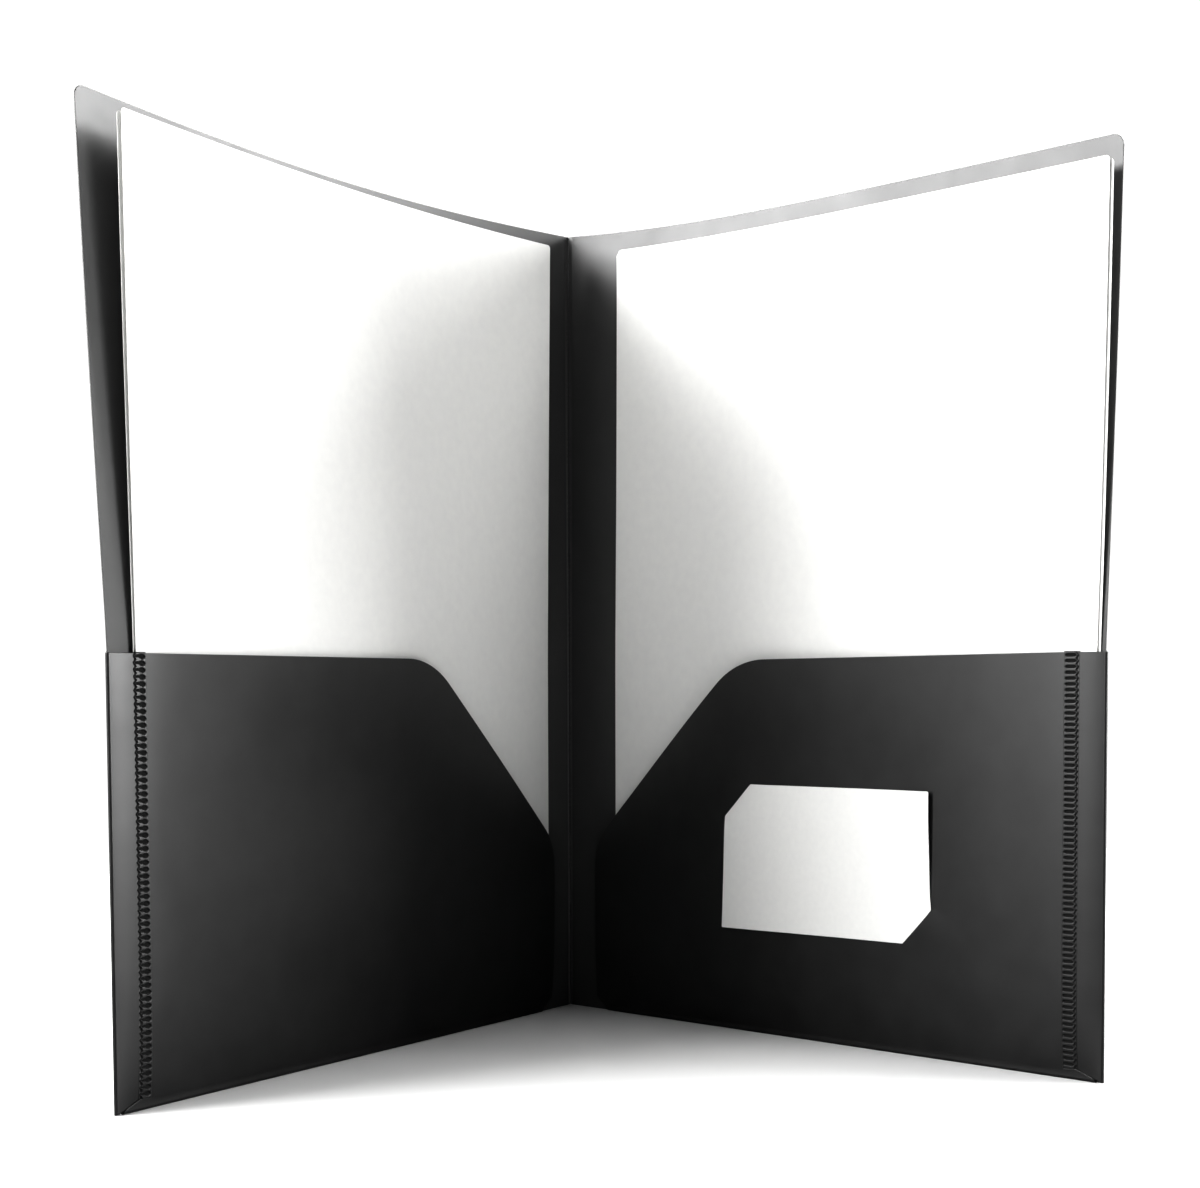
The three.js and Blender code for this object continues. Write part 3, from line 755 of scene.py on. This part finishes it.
def makeWeld(name, side):
    look, own = weldLook, welds[name]
    top = folder["pocketHeight"] + side["topRise"]
    period = (top - look["endMargin"] - look["lowest"]) / (own["bars"] - 1)
    low, high = look["lowest"] - period * look["below"], top + look["above"]

    def place(s, z):
        return s, pocketMiddle(side, s, z), z

    def pits(s, z):     # place within a bar's period, and how deep in a pit or in the small lump beside it
        u = s - own["inner"]
        v = (z - look["lowest"] + period / 2) % period - period / 2
        beyond = (z > top - look["endMargin"] + period / 2) | (z < look["lowest"] - period / 2)
        v = np.where(beyond, look["farOff"], v) - own["tilt"] * (u - look["tiltFrom"])
        at, wide, tall = own["bulb"]
        bulb = np.sqrt(((u - at) / wide) ** 2 + (v / tall) ** 2)
        a, b, half = own["tail"]
        tail = np.hypot(np.maximum(np.maximum(a - u, u - b), 0), v) / half
        lump = np.hypot(u - own["lump"], v) / look["lumpSize"]
        deep = np.clip((look["pitEdge"][0] - np.minimum(bulb, tail)) / look["pitEdge"][1], 0, 1)
        small = np.clip((look["lumpEdge"][0] - lump) / look["lumpEdge"][1], 0, 1)
        return u, v, deep * deep * (3 - 2 * deep), small

    def offsets(s, z, face):
        if face < 0:
            return np.full(np.shape(s), look["back"])
        u, v, deep, small = pits(s, z)
        wide = own["edge"] - own["inner"]
        wave = np.cos(2 * math.pi * np.clip(v, -period / 2, period / 2) / period)
        rib = own["rib"] * np.sin(math.pi * np.clip(u / wide, 0, 1)) * (1 - wave) / 2
        inward, width, height = look["ridge"]
        ridge = height * np.exp(-((u + inward) / width) ** 2)
        lead, run = look["outerDip"]
        outer = np.clip((s - own["edge"] - look["scallop"] * wave + lead) / run, 0, 1)
        past, run, depth = look["innerDip"]
        inner = np.clip((own["inner"] - past - s) / run, 0, 1)
        pressed = own["depth"] * deep + look["lumpDepth"] * small + own["drop"] * outer + depth * inner
        run, depth = look["footDip"]
        foot = np.clip((low + run - z) / run, 0, 1) * depth
        ends = np.clip((z - top) / look["above"], 0, 1) * look["topDip"] + foot
        return folder["wall"] / 2 + rib + ridge - pressed - ends

    # pit mask: painted shade in the pits and the small lumps, which also makes them rough
    def pitShadeAndMelt(s, z):
        _, _, deep, small = pits(s, z)
        return np.maximum(deep, small * look["lumpShadeAndMelt"])

    columns = spread(own["inner"] - look["margin"], own["edge"] + look["skirt"], look["pitch"])
    points, triangles, loop = gridSheet(columns, spread(low, high, period / look["rowsPerBar"]))
    rims = np.full(len(loop), look["rim"])
    piece = thicken(name + "WeldLadder", side, points, triangles, [(loop, outwardOf(points[loop]), rims)],
                    place, offsets, {"pitShadeAndMelt": pitShadeAndMelt})
    finishPiece(piece, name + "_half", [name + "_weld_seam"], weldBlack)


# Crease: the bead left at the bottom of the score
creaseLook = {
    "radius": 0.25, "uneven": 0.03, "waves": (0.9, 0.23),     # its swelling, in radians a millimetre
    "sides": 14, "rows": 60, "end": 0.02, "strain": 0.6,
}


def makeCrease():
    look = creaseLook
    count, rows = look["sides"], look["rows"]
    fast, slow = look["waves"]
    verts, faces = [], []
    for z in np.linspace(look["end"], folder["height"] - look["end"], rows):
        r = look["radius"] * (1 + look["uneven"] * math.sin(z * fast) * math.sin(z * slow))
        for k in range(count):
            a = 2 * math.pi * k / count
            verts.append((creaseAt[0] + r * math.cos(a), creaseAt[1] + r * math.sin(a), z))
    for row in range(rows - 1):
        for k in range(count):
            a, b = row * count + k, row * count + (k + 1) % count
            faces.append((a, b, b + count, a + count))
    faces += [tuple(range(count))[::-1], tuple((rows - 1) * count + k for k in range(count))]
    mesh = bpy.data.meshes.new("spineCrease")
    mesh.from_pydata([tuple(c * mm for c in v) for v in verts], [], faces)
    mesh.shade_smooth()
    strain = np.full(len(verts), look["strain"], np.float32)
    mesh.attributes.new("strain", "FLOAT", "POINT").data.foreach_set("value", strain)
    piece = bpy.data.objects.new("spineCrease", mesh)
    bpy.context.scene.collection.objects.link(piece)
    finishPiece(piece, "left_half", ["spine_crease"], satinBlack)


# Loose letter sheets
sheets = {
    "width": 215.9, "height": 279.4, "wall": 0.2, "pitch": (5.0, 5.0, 3.0), "rim": 0.05, "lowCorner": 1.0,
    "behind": 0.1, "spacing": 0.4,     # off the cover, and between the two
    "stagger": 0.8,                    # the rear one stands lower by this
}


def makeSheet(name, side, layer):     # layer 0 is the rear sheet
    rear, corner = layer == 0, side["paperCorner"]
    start = side["rearEdge"] + (0 if rear else side["frontShift"])
    end = start + sheets["width"] - (0 if rear else side["frontTrim"])
    low = side["raised"] - (sheets["stagger"] if rear else 0)
    high = low + sheets["height"]
    apart = layer * (sheets["wall"] + sheets["spacing"])
    middle = folder["wall"] / 2 + sheets["behind"] + sheets["wall"] / 2 + apart

    def place(s, z):
        outer = (s / folder["width"]) ** 2
        settle = side["settle"] * outer if rear else 0 * s
        s = s - side["gather"] * outer * np.clip(1 - z / sheets["height"], 0, 1)
        return curled(side, s, middle + 0 * s, z, side["follow"], side["stand"] - settle)

    def offsets(s, z, face):
        return np.full(np.shape(s), sheets["wall"] / 2)

    corners = [(start, low, sheets["lowCorner"]), (end, low, sheets["lowCorner"]), (end, high, corner),
               (start, high, corner)]
    layerName, node = ("RearSheet", "_rear_sheet") if rear else ("FrontSheet", "_front_sheet")
    piece = panel(name + layerName, side, corners, place, sheets["pitch"], sheets["rim"], offsets=offsets)
    finishPiece(piece, name + "_papers", [name + node], paperWhite)


# Business card, its top inner and low outer corners tucked through the slits
def makeCard(side):
    def place(s, z):
        ps, pz = s - card["from"], z - card["low"]
        through = 1.0
        for across, along in slitFrame(s, z):
            through = np.minimum(through, np.tanh(across / card["run"]))
        free = np.maximum(1 - ps / card["width"] - pz / card["height"], 0)
        far = np.clip((ps - card["farFrom"][0]) / card["farRun"][0], 0, 1) ** 2
        far = far * np.clip((pz - card["farFrom"][1]) / card["farRun"][1], 0, 1)
        rise = card["over"] * through + card["freeRise"] * free ** 2 + card["farRise"] * far
        return s, pocketMiddle(side, s, z) + rise, z

    def offsets(s, z, face):
        return np.full(np.shape(s), card["wall"] / 2)

    right, high, corner = card["from"] + card["width"], card["low"] + card["height"], card["corner"]
    corners = [(card["from"], card["low"], corner), (right, card["low"], corner), (right, high, corner),
               (card["from"], high, corner)]
    piece = panel("businessCard", side, corners, place, card["pitch"], card["rim"], offsets=offsets)
    finishPiece(piece, "right_half", ["business_card"], cardWhite)


for halfName, half in halves.items():
    makeCover(halfName, half)
    makeFoot(halfName, half)
    makeFlap(halfName, half)
    makePocket(halfName, half)
    makeWeld(halfName, half)
    makeSheet(halfName, half, 0)
    makeSheet(halfName, half, 1)
makeCard(halves["right"])
makeCrease()
print("pieces made")


# Stage and light
stage = {
    "floor": "#f4f4f4", "floorRough": 0.9, "reach": 0.95,     # metres
    "backdrop": "#ffffff", "ambient": 0.03, "exposure": 0.25, "gamma": 0.82,
}
lights = {     # direction round the object and over the table in degrees, size in metres, power in watts
    "leftBox": {"round": 179, "over": 25, "size": (1.6, 0.42), "power": 54},
    "leftLowBox": {"round": 198, "over": 5, "size": (0.42, 0.42), "power": 5},
    "leftFrontBox": {"round": 215, "over": 30, "size": (1.0, 0.6), "power": 7},
    "rightLowBox": {"round": -14, "over": 6, "size": (0.7, 0.42), "power": 23},
    "rightFrontBox": {"round": -38, "over": 32, "size": (0.6, 0.6), "power": 4},
    "rightRearBox": {"round": 31, "over": 28, "size": (0.7, 0.42), "power": 19},
}
lightDistance, lightAim = 1.35, Vector((0.0, 0.0, 0.15))


def makeFloor():     # a round board of matt painted wood
    count, reach = 96, stage["reach"]
    turns = [2 * math.pi * k / count for k in range(count)]
    rim = [(reach * math.cos(turn), reach * math.sin(turn), 0) for turn in turns]
    mesh = bpy.data.meshes.new("floor")
    mesh.from_pydata(rim, [], [tuple(range(count))])
    floor = bpy.data.objects.new("floor", mesh)
    bpy.context.scene.collection.objects.link(floor)
    material, tree, shader = newMaterial("matPaintedBoard")
    shader.inputs["Base Color"].default_value = srgb(stage["floor"])
    shader.inputs["Roughness"].default_value = stage["floorRough"]
    floor.data.materials.append(material)
    floor.visible_glossy = False


def makeStudio():     # the backdrop is white where it is seen, and hardly lights the object
    world = bpy.data.worlds.new("studio")
    bpy.context.scene.world = world
    world.use_nodes = True
    world.cycles_visibility.glossy = False
    tree = world.node_tree
    tree.nodes.clear()
    seen = addNode(tree, "ShaderNodeLightPath", at=(-600, 0))
    strength = addNode(tree, "ShaderNodeMapRange", {"To Min": stage["ambient"], "To Max": 1.0},
                       [("Value", seen, "Is Camera Ray")], (-350, 0))
    sky = addNode(tree, "ShaderNodeBackground", {"Color": srgb(stage["backdrop"])},
                  [("Strength", strength, "Result")], (-100, 0))
    addNode(tree, "ShaderNodeOutputWorld", links=[("Surface", sky, "Background")], at=(150, 0))
    view = bpy.context.scene.view_settings
    view.view_transform, view.exposure, view.gamma = "Standard", stage["exposure"], stage["gamma"]


def makeLights():
    for name, look in lights.items():
        data = bpy.data.lights.new(name, "AREA")
        data.shape, data.size, data.size_y, data.energy = "RECTANGLE", *look["size"], look["power"]
        box = bpy.data.objects.new(name, data)
        turn, rise = math.radians(look["round"]), math.radians(look["over"])
        way = Vector((math.cos(turn) * math.cos(rise), math.sin(turn) * math.cos(rise), math.sin(rise)))
        box.location = lightAim + way * lightDistance
        box.rotation_euler = (-way).to_track_quat("-Z", "Y").to_euler()
        box.visible_camera = False
        bpy.context.scene.collection.objects.link(box)


# Camera at the photograph's angle, in millimetres from the crease's foot and in degrees
camera = {
    "fromCrease": (-73.4, -815.8, 121.9), "yaw": 10.135, "pitch": 3.06, "roll": 0.06,
    "lens": 63.864, "sensor": 36.0, "shift": (-0.12955, 0.17292),
}


def makeCamera():
    data = bpy.data.cameras.new("camera")
    data.lens, data.sensor_width, data.sensor_fit = camera["lens"], camera["sensor"], "HORIZONTAL"
    data.shift_x, data.shift_y = camera["shift"]
    data.clip_start, data.clip_end = 0.01, 50
    view = bpy.data.objects.new("camera", data)
    turn = Matrix.Rotation(math.radians(-camera["yaw"]), 4, "Z")
    turn @= Matrix.Rotation(math.radians(90 - camera["pitch"]), 4, "X")
    turn @= Matrix.Rotation(math.radians(camera["roll"]), 4, "Z")
    view.matrix_world = Matrix.Translation(Vector(creaseAt + np.array(camera["fromCrease"])) * mm) @ turn
    bpy.context.scene.collection.objects.link(view)
    bpy.context.scene.camera = view


makeFloor()
makeStudio()
makeLights()
makeCamera()
print("stage, lights and camera made")
